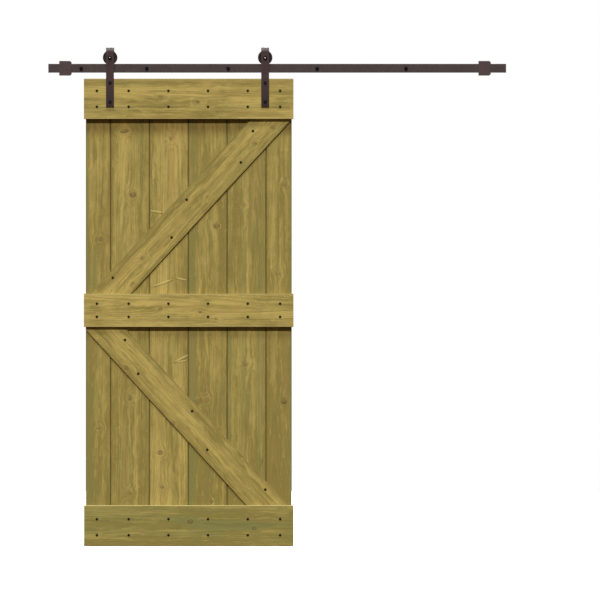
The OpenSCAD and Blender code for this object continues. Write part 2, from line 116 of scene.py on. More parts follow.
class WoodSettings(bpy.types.PropertyGroup):
    light: colour_setting("Light wood", "Stained wood in the pale bands of the grain", shade(180, 158, 85))
    dark: colour_setting("Dark wood", "Stained wood in the deep bands of the grain", shade(132, 117, 54))
    pale: colour_setting("Pale streak", "Thin streaks that took little stain", shade(198, 177, 106))
    green: colour_setting("Green stain", "Sapwood that the stain turned green", shade(121, 120, 64))
    # ledge_shade is the tint of the painted shade on the planks just under the top ledge
    ledge_shade: colour_setting("Painted ledge shade", "Tint of the planks where the top ledge keeps them damp",
                              (0.72, 0.66, 0.55))
    brown: colour_setting("Brown stain", "Heartwood that shows through the stain", shade(150, 123, 64))
    late: colour_setting("Late wood", "Hard dark line at the end of each ring", shade(112, 94, 42))
    knot: colour_setting("Knot", "Middle of the knots", shade(108, 82, 46))
    rim: colour_setting("Knot rim", "Bark line around the knots", shade(70, 55, 22))
    ring_gap: length_setting("Ring gap", "Distance between two growth rings", 5.2 * MM)
    relief: length_setting("Relief", "How far the planed faces dip", 0.5 * MM, 2 * MM)
    # The pale edge colour is partly stain sanded thin and partly painted highlight along the ledges' edges
    edge: colour_setting("Sanded edge", "Edges where the stain was sanded thin", shade(214, 196, 132))
    vee: length_setting("V depth", "Depth of the V along each joint", 2.9 * MM, 6 * MM)
    tongue: length_setting("Tongue length", "How far a tongue stands out", 6 * MM, 9 * MM)
    tongue_t: length_setting("Tongue thickness", "Thickness of a tongue", 4.5 * MM, 6 * MM)
    ledge_ease: length_setting("Ledge radius", "Radius along the front edges of ledges and braces",
                               1.5 * MM, 5 * MM)
    foot_ease: length_setting("Foot radius", "Radius along the front edges of the bottom ledge",
                              2.2 * MM, 5 * MM)
    end_ease: length_setting("Sanded radius", "Radius of the edges that are only sanded",
                             0.8 * MM, 2 * MM)


class SteelSettings(bpy.types.PropertyGroup):
    track: colour_setting("Track", "Powder coat of the track", shade(62, 52, 51))
    stop: colour_setting("End stops", "Powder coat of the end stops", shade(70, 54, 55))
    hanger: colour_setting("Hangers", "Powder coat of the straps", shade(57, 38, 38))
    wheel: colour_setting("Wheels", "Powder coat of the wheels", shade(28, 19, 21))
    fixing: colour_setting("Fixings", "Black oxide of bolts, nuts and screws", shade(7, 5, 6))
    bare: colour_setting("Bare steel", "Steel where the finish is worn through", shade(150, 143, 138))
    bearing: colour_setting("Bearing steel", "Ground steel of the ball bearings", shade(205, 205, 208))
    bar_ease: length_setting("Bar edge", "Radius of the edges of bars and straps", 0.7 * MM, 2 * MM)
    small_ease: length_setting("Small edge", "Radius of the edges of small turned parts",
                               0.3 * MM, 1 * MM)
    thread_pitch: length_setting("Thread pitch", "Pitch of the lag bolts' thread", 2.8 * MM, 5 * MM)
    thread_turns: IntProperty(name="Thread turns", description="Turns of the lag bolts' thread",
                              default=12, min=4, max=14)


class StageSettings(bpy.types.PropertyGroup):
    lens: FloatProperty(name="Lens", description="Focal length of the camera", default=263,
                        unit="CAMERA", min=20, max=500)
    distance: length_setting("Distance", "Camera to the front of the door", 20, 40)
    aim_right: length_setting("Aim right", "Where the camera looks, right of the middle of the door",
                              104 * MM, 1)
    aim_down: length_setting("Aim down", "Where the camera looks, below the middle of the door",
                             14.4 * MM, 1)
    floor_gap: length_setting("Floor gap", "Gap under the leaf", 12 * MM)
    floor: colour_setting("Floor", "Pale floor", (0.9, 0.9, 0.9))
    sun: light_setting("Key light", "Strength of the key light", 3.0)
    sun_height: angle_setting("Key height", "Angle of the key light above level", 45)
    sun_side: angle_setting("Key side", "Angle of the key light to the left of straight on", 4)
    sun_size: angle_setting("Key softness", "Width of the key light as seen from the door", 4)
    top: light_setting("Top light", "Strength of the soft light from above", 2.2)
    top_colour: colour_setting("Top light colour", "Colour of the soft light from above",
                               (0.83, 0.92, 1.0))
    side: light_setting("Side lights", "Strength of the lights from both sides", 1.0)
    back: light_setting("Back light", "Strength of the light from behind", 3.6)
    fill: light_setting("Fill", "Strength of the light from all round", 0.15, high=2)
    fill_colour: colour_setting("Fill colour", "Colour of the light from all round", (1.0, 0.76, 0.5))
    overhead: light_setting("Overhead", "How much brighter the fill is straight above", 5, 1, 20)


def wood():
    return bpy.context.scene.barn_wood


def steel():
    return bpy.context.scene.barn_steel


# Material wiring

class Wire:
    """An output socket whose arithmetic adds Math nodes to its material."""

    def __init__(self, finish, socket):
        self.finish = finish
        self.socket = socket

    def __add__(self, other):
        return self.finish.math("ADD", self, other)

    def __sub__(self, other):
        return self.finish.math("SUBTRACT", self, other)

    def __mul__(self, other):
        return self.finish.math("MULTIPLY", self, other)

    def __truediv__(self, other):
        return self.finish.math("DIVIDE", self, other)

    def __radd__(self, other):
        return self.finish.math("ADD", other, self)

    def __rsub__(self, other):
        return self.finish.math("SUBTRACT", other, self)

    def __rmul__(self, other):
        return self.finish.math("MULTIPLY", other, self)

    def __rtruediv__(self, other):
        return self.finish.math("DIVIDE", other, self)


class Finish:
    """A material, or the studio's sky, that is wired one node at a time."""

    def __init__(self, name, library="materials"):
        self.owner = getattr(bpy.data, library).new(name)
        self.owner.use_nodes = True
        self.tree = self.owner.node_tree
        self.tree.nodes.clear()

    def node(self, kind, settings=None, inputs=None, output=0):
        """Adds a node, sets it up, joins its sockets and returns one of its outputs."""
        made = self.tree.nodes.new(kind)
        for key, value in (settings or {}).items():
            setattr(made, key, value)
        for key, value in (inputs or {}).items():
            if isinstance(value, Wire):
                self.tree.links.new(value.socket, made.inputs[key])
            else:
                socket = made.inputs[key]
                rgba = socket.type == "RGBA" and len(value) == 3
                socket.default_value = (*value, 1) if rgba else value
        return Wire(self, made.outputs[output]) if made.outputs else None

    def math(self, operation, a, b=0.0, clamp=False):
        return self.node("ShaderNodeMath", {"operation": operation, "use_clamp": clamp}, {0: a, 1: b})

    def clamped(self, value):
        return self.math("MULTIPLY", value, 1.0, clamp=True)

    def vector(self, operation, a, b=(0, 0, 0), output=0):
        return self.node("ShaderNodeVectorMath", {"operation": operation}, {0: a, 1: b}, output)

    def mix(self, amount, a, b, blend="MIX"):
        """Colour a, with colour b over it by that amount."""
        return self.node("ShaderNodeMix", {"data_type": "RGBA", "blend_type": blend},
                         {0: amount, 6: a, 7: b}, 2)

    def step(self, value, low, high):
        """0 below low, 1 above high and a smooth rise between; low may be above high."""
        ends = (low, high, 0, 1) if low < high else (high, low, 1, 0)
        return self.node("ShaderNodeMapRange", {"interpolation_type": "SMOOTHSTEP"},
                         {"Value": value, "From Min": ends[0], "From Max": ends[1],
                          "To Min": ends[2], "To Max": ends[3]})

    def cloud(self, place, stretch, detail=2.0, roughness=0.5):
        """Noise from 0 to 1 that has about stretch[i] waves in a metre along each axis."""
        return self.node("ShaderNodeTexNoise", {"noise_dimensions": "3D"},
                         {"Vector": self.vector("MULTIPLY", place, stretch), "Scale": 1.0,
                          "Detail": detail, "Roughness": roughness})

    def here(self):
        """Object coordinates, which are the door's own."""
        return self.node("ShaderNodeTexCoord", output="Object")

    def place(self, source, centre, turn, size=(1, 1, 1)):
        """Coordinates about a centre, in a frame turned about Y, in units of size."""
        return self.node("ShaderNodeMapping", {"vector_type": "TEXTURE"},
                         {"Vector": source, "Location": centre, "Rotation": (0, turn, 0), "Scale": size})

    def split(self, vector):
        made = self.node("ShaderNodeSeparateXYZ", inputs={0: vector})
        return [Wire(self, socket) for socket in made.socket.node.outputs]

    def worn(self):
        """The mark that says how much a face wears."""
        return self.node("ShaderNodeAttribute", {"attribute_name": "worn", "attribute_type": "GEOMETRY"},
                         output="Fac")

    def surface(self, colour, roughness, height, depth, strength=1.0, **constants):
        """Ends the material in a Principled shader with a bump of that depth in metres."""
        bump = self.node("ShaderNodeBump", inputs={"Height": height, "Distance": depth,
                                                   "Strength": strength})
        inputs = {"Base Color": colour, "Roughness": roughness, "Normal": bump}
        inputs.update({key.replace("_", " "): value for key, value in constants.items()})
        shader = self.node("ShaderNodeBsdfPrincipled", inputs=inputs)
        self.node("ShaderNodeOutputMaterial", inputs={"Surface": shader})
        return self.owner


MARK_DEPTH = 1e3  # half depth of a mark, so that it goes right through the board


def stained_pine(name, centre, turn, half_width, seed, tone, green, brown, heart, knots=(), fade=0.0,
                 bands=(), slits=(), spikes=(), edge=("rim", 0.35), vivid=1.0, crown=0.3,
                 side=("late", 0.4), painted_shade=None, screws=()):
    """Stained pine whose grain runs along the board's own Z. Knots, slits, spikes and screws are
    (x, z, half width, half length, turn in degrees) and bands are (offset across, half width,
    strength) of green sapwood. tone is how pale the board is and fade how much paler it gets upwards.
    heart is where the middle of the log was. edge and side are the colour and strength of the stain on
    the eased edges and beside them. vivid is the contrast of the streaks, and crown is how much darker
    the board is towards its sides. painted_shade darkens the wood as painted shade from the first of two
    heights up to the second.
    Around the screws the wood is darkened as painted shade."""
    w = wood()
    f = Finish(name)
    where = f.here()
    board = f.place(where, centre, turn)
    x, y, z = f.split(board)

    def local(mark):
        mx, mz, half_w, half_l, lean = mark
        return f.place(where, (mx, centre[1], mz), turn + math.radians(lean),
                       (half_w, MARK_DEPTH, half_l))

    def nearest(marks):
        found = None
        for mark in marks:
            far = f.vector("LENGTH", local(mark), output=1)
            found = far if found is None else f.math("MINIMUM", found, far)
        return found

    # The grain parts around each knot
    parted = 0.0
    for mark in knots:
        spot = local(mark)
        far = f.vector("DOT_PRODUCT", spot, spot, output=1)
        parted = f.split(spot)[0] * f.math("EXPONENT", far * -0.2) * (mark[2] * 0.95) + parted
    own = f.vector("ADD", board, (seed * 1.37, seed * 0.71, seed * 2.11))
    if knots:
        own = f.vector("SUBTRACT", own, f.node("ShaderNodeCombineXYZ", inputs={0: parted}))
    torn = f.cloud(own, (75, 75, 45), 3, 0.6)

    # Growth rings around the heart of the log, pushed aside by the knots
    wander = f.cloud(own, (3, 3, 0.7), 1)
    ripple = f.cloud(own, (24, 24, 1.9), 3, 0.55)
    across = x - heart[0] + (wander - 0.5) * 0.06
    deep = y - heart[1]
    radius = f.math("SQRT", across * across + deep * deep) + (ripple - 0.5) * 0.014 + z * 0.012
    away = nearest(knots)
    wisp = 0.0
    if away is not None:
        away = away + (torn - 0.5) * 1.3
        radius = radius + f.math("EXPONENT", away * away * -0.16) * 0.016
        wisp = f.step(away, 4.2, 1.2) * 0.05
    ring = f.math("FRACT", radius / w.ring_gap)
    late = f.step(ring, 0.35, 0.93) * f.step(ring, 1.0, 0.94)

    # Colour along the grain, with short pale and dark strokes where the plane tore it
    bend = f.node("ShaderNodeTexNoise", inputs={"Vector": own, "Scale": 16.0, "Detail": 2.0}, output=1)
    drift = f.vector("ADD", own, f.vector("MULTIPLY", bend, (0.022, 0.022, 0.0)))
    streak = f.cloud(drift, (46, 46, 1.3), 4, 0.62)
    middle = f.cloud(drift, (105, 105, 4.5), 2, 0.6)
    broad = f.cloud(own, (11, 11, 1.3), 2, 0.5)
    patch = f.cloud(own, (17, 17, 7), 3, 0.6)
    fine = f.cloud(drift, (210, 210, 9), 3, 0.6)
    stroke = f.cloud(drift, (150, 150, 17), 3, 0.65)
    fibre = f.cloud(own, (1300, 1300, 22), 2, 0.6)
    level = (streak - 0.5) * 2.1 + (middle - 0.5) * 1.3 + (broad - 0.5) * 1.4 + (patch - 0.5) * 1.2
    off_middle = x / half_width
    level = level * vivid + 0.5 + tone + z * fade - off_middle * off_middle * crown
    colour = f.mix(f.clamped(level), w.dark[:], w.light[:])
    colour = f.mix(f.step(fine + wisp, 0.58, 0.85) * 0.5, colour, w.pale[:])
    colour = f.mix(f.step(stroke + wisp, 0.6, 0.78) * 0.75, colour, w.pale[:])
    colour = f.mix(f.step(stroke, 0.38, 0.24) * 0.55, colour, w.late[:])

    # Green sapwood, brown heartwood, the hard line of each ring and the fibres
    sap = f.step(f.cloud(own, (13, 13, 1.4), 2), 0.52, 0.72) * green * 2
    for offset, half, strength in bands:
        strip = f.math("ABSOLUTE", x - offset + (streak - 0.5) * 0.03)
        strip = f.step(strip, half, half * 0.3) * (0.4 + f.step(broad, 0.35, 0.65) * 0.6) * strength
        sap = f.math("MAXIMUM", sap, strip)
    colour = f.mix(f.clamped(sap), colour, w.green[:])
    elsewhere = f.vector("ADD", own, (7, 3, 5))
    heartwood = f.step(f.cloud(elsewhere, (19, 19, 1.4), 2), 0.55, 0.7)
    colour = f.mix(heartwood * brown * 2, colour, w.brown[:])
    colour = f.mix(late * 0.3, colour, w.late[:])
    colour = f.mix(f.step(fibre, 0.5, 0.8) * 0.2, colour, w.late[:])
    height = late * 0.6 + fine * 0.5 + fibre * 0.35

    # Knots, branches cut along their length, painted shade around screws, and slits
    if away is not None:
        whorl = f.math("FRACT", away * 2.3 + middle * 1.5)
        eye = f.step(away, 1.15, 0.5)
        inner = f.mix(f.step(whorl, 0.25, 0.95) * 0.7, w.knot[:], w.dark[:])
        colour = f.mix(eye * (0.2 + torn * 0.7), colour, inner)
        bark = f.step(away, 0.6, 1.0) * f.step(away, 1.5, 1.0)
        colour = f.mix(bark * f.step(torn, 0.42, 0.66) * 0.7, colour, w.rim[:])
        height = height - bark * 0.9 + eye * 0.3
    for mark in spikes:
        spot = local(mark)
        along = f.split(spot)[2]
        reach = f.vector("LENGTH", spot, output=1) + (torn - 0.5) * 0.9
        body = f.step(reach, 1.05, 0.7)
        skin = f.step(reach, 0.7, 1.0) * f.step(reach, 1.5, 1.05)
        skin = skin * f.step(f.math("ABSOLUTE", along), 0.2, 0.6)
        colour = f.mix(body * 0.55, colour, w.pale[:])
        colour = f.mix(skin * f.step(along, 0.9, -0.7) * 0.8, colour, w.rim[:])
        height = height - skin
    # Painted shade: a dark ring on the wood around each screw head
    screw_shade = nearest(screws)
    if screw_shade is not None:
        colour = f.mix(f.step(screw_shade, 1.7, 1.1) * 0.85, colour, w.rim[:])
    slit = nearest(slits)
    if slit is not None:
        cut = f.step(slit, 1.1, 0.6)
        colour = f.mix(cut * 0.8, colour, w.rim[:])
        height = height - cut

    # Stain gathers along the sides of the board and is thin or thick on its edges
    # On the ledges the pale strips beside the sides are partly painted highlight
    off_side = f.math("ABSOLUTE", x) + (ripple - 0.5) * 0.006
    beside = f.step(off_side, half_width - 10 * MM, half_width - 1 * MM)
    colour = f.mix(beside * side[1], colour, getattr(w, side[0])[:])
    rubbed = f.worn() * (edge[1] * 0.7 + middle * edge[1] * 0.6)
    colour = f.mix(rubbed, colour, getattr(w, edge[0])[:])
    # Painted shade on the planks' fronts just under the top ledge, fading out further down
    if painted_shade:
        rise = f.split(where)[2] + (streak - 0.5) * 0.03
        front = f.step(y, 9 * MM, 5 * MM)
        colour = f.mix(f.step(rise, *painted_shade) * front, colour, w.ledge_shade[:], "MULTIPLY")
    rough = 0.62 + (fine - 0.5) * 0.2 - late * 0.08
    return f.surface(colour, rough, height, 0.25 * MM, 0.9, Specular_IOR_Level=0.32)


def coated_steel(name, colour, roughness=0.5, grit=0.5, worn=0.2, polish=None, gloss=0.35, darker_bands=()):
    """Powder coat or black oxide with a fine skin, thinner along the edges that carry the worn mark.
    polish is the middle and the radius of the groove that the track rubs bright, and darker_bands holds
    parts tinted darker, such as painted shade, as (height where they start, height where they are full,
    strength)."""
    s = steel()
    f = Finish(name)
    own = f.here()
    skin = f.cloud(own, (900, 900, 900), 3, 0.6)
    dust = f.cloud(own, (38, 38, 38), 3, 0.6)
    edge = f.worn()
    rubbed = f.math("MAXIMUM", edge * f.step(dust, 0.42, 0.66) * worn,
                    f.step(edge, 0.5 * BARE_AND_GLINT, 0.9 * BARE_AND_GLINT))
    if polish:
        middle, tread = polish
        from_axle = f.vector("SUBTRACT", own, middle)
        far = f.vector("LENGTH", f.vector("MULTIPLY", from_axle, (1, 0, 1)), output=1)
        aside = f.math("ABSOLUTE", f.split(from_axle)[1])
        groove = f.step(far, tread + 1.2 * MM, tread + 0.3 * MM) * f.step(aside, 5.5 * MM, 4.5 * MM)
        rubbed = f.math("MAXIMUM", rubbed, groove * 0.8)
    lift = tuple(min(1.0, c * 1.5 + 0.004) for c in colour)
    tint = f.mix(f.step(dust, 0.35, 0.75) * 0.22, colour[:], lift)
    tint = f.mix(f.step(skin, 0.55, 0.8) * 0.3, tint, lift)
    # Each band tints the coat darker; over the top of a strap's bend this is painted shade
    for start, full, strength in darker_bands:
        dark = f.step(f.split(own)[2] + (dust - 0.5) * 2 * MM, start, full)
        tint = f.mix(dark * strength, tint, s.fixing[:])
    tint = f.mix(rubbed, tint, s.bare[:])
    rough = roughness + (dust - 0.5) * 0.18 + (skin - 0.5) * 0.1 - rubbed * 0.12
    bump = skin * grit + dust * 0.3
    return f.surface(tint, rough, bump, 0.03 * MM, 0.8, Metallic=rubbed * 0.8,
                     Specular_IOR_Level=gloss)


def bright_steel(name, colour, roughness=0.24):
    """Ground bearing steel with fine turning lines."""
    f = Finish(name)
    own = f.here()
    lines = f.cloud(own, (260, 5200, 260), 2, 0.6)
    film = f.cloud(own, (120, 120, 120), 3, 0.6)
    tint = f.mix(f.step(film, 0.45, 0.75) * 0.35, colour[:], tuple(c * 0.55 for c in colour))
    return f.surface(tint, roughness + (film - 0.5) * 0.2, lines, 0.02 * MM, 0.6, Metallic=1.0)


# Mesh making

def middle_of(low, high):
    return (low + high) / 2


def middle_at(low, high, y):
    """The middle of a box as seen from the front, at that depth."""
    return Vector(((low.x + high.x) / 2, y, (low.z + high.z) / 2))


def solid_box(low, high):
    made = bmesh.new()
    bmesh.ops.create_cube(made, size=1)
    bmesh.ops.scale(made, vec=high - low, verts=made.verts)
    bmesh.ops.translate(made, vec=middle_of(low, high), verts=made.verts)
    return made


def merged_copy(node):
    """A copy of a CAD node's mesh with its loose triangles joined."""
    made = bmesh.new()
    made.from_mesh(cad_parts[node].data)
    bmesh.ops.remove_doubles(made, verts=made.verts, dist=SAME_POINT)
    return made


def cad_copy(node):
    """A merged copy of a CAD node's mesh with its flat faces whole again."""
    made = merged_copy(node)
    bmesh.ops.dissolve_limit(made, angle_limit=FLAT, verts=made.verts, edges=made.edges)
    return made


def islands(node):
    """The lowest and highest corner of each separate solid in a CAD node."""
    made = merged_copy(node)
    left, boxes = set(made.verts), []
    while left:
        solid, waiting = [], [left.pop()]
        while waiting:
            vert = waiting.pop()
            solid.append(vert.co)
            for other in (e.other_vert(vert) for e in vert.link_edges):
                if other in left:
                    left.remove(other)
                    waiting.append(other)
        boxes.append((Vector([min(c[i] for c in solid) for i in range(3)]),
                      Vector([max(c[i] for c in solid) for i in range(3)])))
    made.free()
    return sorted(boxes, key=lambda b: (round(b[0].x, 4), round(b[0].z, 4), round(b[0].y, 4)))


def screw_marks(screws, board):
    """The screws of one node whose heads lie on a board, as marks of the size of their heads."""
    low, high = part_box(board)
    heads = [(middle_of(a, b), (b.x - a.x) / 2) for a, b in islands(screws)]
    return [(at.x, at.z, half, half, 0) for at, half in heads if low.z < at.z < high.z]


def worn_layer(made):
    return made.faces.layers.float.get("worn") or made.faces.layers.float.new("worn")


def ease(made, edges, radius, segments=2, wear=1.0):
    """Rounds edges, and marks the new faces by how much they wear."""
    worn = worn_layer(made)
    rounded = bmesh.ops.bevel(made, geom=list(edges), offset=radius, offset_type="OFFSET",
                              segments=segments, profile=0.5, affect="EDGES", material=-1,
                              clamp_overlap=True)
    for face in rounded["faces"]:
        face[worn] = wear


def sharp_edges(made):
    return [e for e in made.edges if e.is_manifold and e.calc_face_angle(0) > SHARP]


def edges_along(made, direction, test):
    """Edges that run in one direction and whose middle passes a test."""
    unit = Vector(direction)
    return [e for e in made.edges
            if abs((e.verts[1].co - e.verts[0].co).normalized().dot(unit)) > 0.999
            and test((e.verts[0].co + e.verts[1].co) / 2)]


def edges_between(verts):
    """The edges that join a group of points, in a steady order."""
    chosen = set(verts)
    return list({e: None for v in verts for e in v.link_edges if e.other_vert(v) in chosen})


def cut_through(made, point, normal, **options):
    """Cuts every face along a plane."""
    everything = made.verts[:] + made.edges[:] + made.faces[:]
    return bmesh.ops.bisect_plane(made, geom=everything, dist=ON_PLANE, plane_co=point,
                                  plane_no=normal, **options)


def slice_across(made, start, end, pitch):
    """Cuts faces at even steps between two points, square to the line between them."""
    line = end - start
    count = max(1, round(line.length / pitch))
    for i in range(1, count):
        cut_through(made, start + line * i / count, line)


def weather(made, low, high, seed, knots):
    """Lets the planed faces dip in long waves and a finer ripple, but not at the knots."""
    relief = wood().relief
    middle = (low.y + high.y) / 2
    for vert in made.verts:
        x, z = vert.co.x, vert.co.z
        wave = 0.5 + 0.5 * noise.noise(Vector((x * 26 + seed, seed * 3.7, z * 5)))
        ripple = 0.5 + 0.5 * noise.noise(Vector((x * 90, seed * 1.3, z * 14)))
        dip = 0.6 * wave + 0.4 * ripple
        for kx, kz, half_w, half_l, lean in knots:
            turn = math.radians(lean)
            dx, dz = x - kx, z - kz
            u = (dx * math.cos(turn) - dz * math.sin(turn)) / half_w
            v = (dx * math.sin(turn) + dz * math.cos(turn)) / half_l
            dip -= 0.8 * math.exp(-(u * u + v * v) * 0.5)
        dip = min(1.0, max(0.0, dip)) * relief
        vert.co.y += dip if vert.co.y < middle else -dip


def ring_stack(made, rings, place, segments=48):
    """A closed turned shape about a line along Y. Each ring is (radius, reach along Y from place),
    and either may be a function of the angle."""
    loop = bmesh.ops.create_circle(made, cap_ends=False, radius=1, segments=segments)["verts"]
    angles = {v: math.atan2(v.co.y, v.co.x) for v in loop}

    def settle(verts, ring):
        for v in verts:
            angle = angles[v]
            radius, reach = (size(angle) if callable(size) else size for size in ring)
            v.co = place + Vector((radius * math.cos(angle), reach, radius * math.sin(angle)))

    settle(loop, rings[0])
    bmesh.ops.contextual_create(made, geom=loop + edges_between(loop))
    for ring in rings[1:]:
        grown = bmesh.ops.extrude_edge_only(made, edges=edges_between(loop))
        fresh = [g for g in grown["geom"] if isinstance(g, bmesh.types.BMVert)]
        for v in fresh:
            source = min(loop, key=lambda o: (o.co - v.co).length_squared)
            angles[v] = angles[source]
        settle(fresh, ring)
        loop = fresh
    bmesh.ops.contextual_create(made, geom=loop + edges_between(loop))


def ring_stack_open(made, rings, place, segments=48):
    """A ring-shaped turned solid: the last ring closes on the first."""
    before = set(made.verts)
    ring_stack(made, rings, place, segments)
    fresh = [v for v in made.verts if v not in before]
    caps = {f for v in fresh for f in v.link_faces if len(f.verts) == segments}
    bmesh.ops.delete(made, geom=list(caps), context="FACES_ONLY")
    bmesh.ops.remove_doubles(made, verts=fresh, dist=SAME_POINT)


def finish_piece(name, made, material, body, node):
    """Turns a bmesh into a piece that rides on a body and stands for a CAD node."""
    bmesh.ops.recalc_face_normals(made, faces=made.faces)
    worn = worn_layer(made)
    for face in made.faces:
        face.smooth = True
    for edge in made.edges:
        eased = [face[worn] > 0 for face in edge.link_faces]
        edge.smooth = all(eased) or (not any(eased) and edge.calc_face_angle(0) < SHARP)
    mesh = bpy.data.meshes.new(name)
    made.to_mesh(mesh)
    made.free()
    mesh.materials.append(material)
    piece = bpy.data.objects.new(name, mesh)
    bpy.context.scene.collection.objects.link(piece)
    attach(piece, body)
    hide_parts(node)


def eased_piece(name, node, radius, material, body):
    """A piece in the shape of a CAD node, with its sharp edges rounded."""
    made = cad_copy(node)
    ease(made, sharp_edges(made), radius)
    finish_piece(name, made, material, body, node)


def refinish(material, *nodes):
    """Gives CAD nodes whose shape is right their finish."""
    for node in nodes:
        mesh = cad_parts[node].data
        mesh.materials.clear()
        mesh.materials.append(material)


# The leaf

# Knots as (x, z, half width, half length, turn in degrees), in the frame of the door
PLANKS = {
    "plank_1": dict(
        seed=1, tone=-0.3, fade=0.2, green=0.3, brown=0.2, heart=(0.03, 0.05),
        knots=[(-0.586, -0.780, 0.011, 0.009, 0), (-0.593, -1.642, 0.010, 0.008, 0)],
        bands=[(-0.056, 0.016, 0.55)]),
    "plank_2": dict(
        seed=2, tone=-0.11, fade=0.10, green=0.15, brown=0.2, heart=(-0.02, 0.06),
        knots=[(-0.435, -0.577, 0.013, 0.013, 0), (-0.474, -0.287, 0.020, 0.008, -8),
               (-0.451, -1.938, 0.012, 0.010, 0), (-0.45, -1.505, 0.008, 0.012, 0)],
        bands=[(0.088, 0.014, 0.5)]),
    "plank_3": dict(
        seed=3, tone=0.14, fade=0.0, green=0.08, brown=0.25, heart=(0.01, 0.09),
        knots=[(-0.310, -1.756, 0.011, 0.009, 0), (-0.301, -1.911, 0.010, 0.009, 0),
               (-0.262, -0.320, 0.010, 0.012, 0)],
        spikes=[(-0.328, -0.654, 0.030, 0.006, 8), (-0.298, -0.980, 0.045, 0.006, -20),
                (-0.215, -0.962, 0.030, 0.005, 12), (-0.208, -1.322, 0.047, 0.006, -26),
                (-0.215, -1.338, 0.030, 0.004, -10)]),
    "plank_4": dict(
        seed=4, tone=-0.3, fade=0.27, green=0.28, brown=0.2, heart=(-0.03, 0.05),
        knots=[(-0.0525, -0.720, 0.014, 0.012, 0), (-0.138, -1.525, 0.024, 0.012, -20),
               (-0.075, -1.98, 0.009, 0.009, 0)],
        bands=[(-0.078, 0.026, 0.9)]),
    "plank_5": dict(
        seed=5, tone=-0.145, fade=0.15, green=0.4, brown=0.15, heart=(0.02, 0.08),
        knots=[(0.068, -0.624, 0.012, 0.011, 0), (0.081, -1.350, 0.013, 0.011, 0)],
        bands=[(-0.02, 0.022, 0.4), (0.06, 0.03, 0.6), (-0.078, 0.012, 0.7)],
        slits=[(0.156, -1.796, 0.0016, 0.014, 0)]),
    "plank_6": dict(
        seed=6, tone=-0.35, fade=0.5, green=0.25, brown=0.25, heart=(-0.02, 0.05),
        knots=[(0.262, -0.538, 0.010, 0.015, -25), (0.231, -0.935, 0.012, 0.010, 0),
               (0.256, -1.518, 0.013, 0.014, 0)],
        bands=[(0.052, 0.016, 0.5)]),
}
LEDGES = {
    "top_ledge": dict(
        seed=11, tone=0.08, green=0.12, brown=0.2, heart=(0.02, 0.08), vivid=1.2,
        edge=("late", 0.9), crown=0, side=("edge", 0.2),
        knots=[(-0.307, -0.132, 0.007, 0.010, 0), (-0.137, -0.155, 0.006, 0.009, 0),
               (-0.050, -0.196, 0.005, 0.009, 0)]),
    "middle_ledge": dict(
        seed=12, tone=0.1, green=0.08, brown=0.25, heart=(-0.02, 0.07), vivid=1.2,
        edge=("late", 0.8), crown=0, side=("edge", 0.2),
        knots=[(-0.310, -1.099, 0.007, 0.010, 0), (-0.128, -1.112, 0.006, 0.009, 0),
               (-0.055, -1.144, 0.004, 0.008, 0)]),
    # The pale top edge of the bottom ledge is partly painted highlight
    "bottom_ledge": dict(
        seed=13, tone=-0.25, green=0.5, brown=0.0, heart=(0.0, 0.08), vivid=1.3,
        edge=("edge", 0.4), crown=0, side=("late", 0.1), bands=[(0.0, 0.3, 0.5)],
        knots=[(-0.173, -2.070, 0.008, 0.012, 0), (0.12, -2.10, 0.006, 0.010, 0)]),
}
BRACES = {
    "upper_brace": dict(
        seed=21, tone=0.1, green=0.15, brown=0.2, heart=(0.02, 0.08), vivid=1.2,
        edge=("late", 0.5),
        knots=[(-0.392, -0.866, 0.008, 0.010, 0), (0.202, -0.270, 0.010, 0.008, 0),
               (0.122, -0.348, 0.008, 0.010, 0), (-0.438, -0.985, 0.007, 0.012, 0),
               (-0.095, -0.585, 0.006, 0.008, 0)]),
    "lower_brace": dict(
        seed=22, tone=0.0, green=0.15, brown=0.2, heart=(-0.02, 0.08), vivid=1.2,
        edge=("late", 0.5),
        knots=[(-0.465, -1.368, 0.008, 0.012, 0), (0.055, -1.765, 0.010, 0.013, 0),
               (-0.25, -1.62, 0.007, 0.010, 0), (-0.598, -1.250, 0.007, 0.009, 0)]),
}
# The grid that the faces of the boards dip on, and the plain strip beside it
GRID_ACROSS = 7 * MM
GRID_ALONG = 12 * MM
PLANK_STRIP = 8 * MM
LEDGE_STRIP = 6 * MM
# How far under the top ledge the planks get painted shade: all of it, and a trace
PAINTED_SHADE_FULL = 43 * MM
PAINTED_SHADE_END = 100 * MM


def side_strip(made, x, tongue_y, direction):
    """The strip of a plank's side face that a tongue or groove is pushed out of."""
    half = wood().tongue_t / 2
    for y in (tongue_y - half, tongue_y + half):
        cut_through(made, (x, y, 0), (0, 1, 0))
    return [f for f in made.faces if f.normal.x * direction > 0.9
            and abs(f.calc_center_median().y - tongue_y) < half]


def push(made, faces, offset):
    """Pushes faces out of a solid or into it."""
    grown = bmesh.ops.extrude_face_region(made, geom=faces)
    moved = [g for g in grown["geom"] if isinstance(g, bmesh.types.BMVert)]
    bmesh.ops.delete(made, geom=faces, context="FACES")
    bmesh.ops.translate(made, vec=offset, verts=moved)


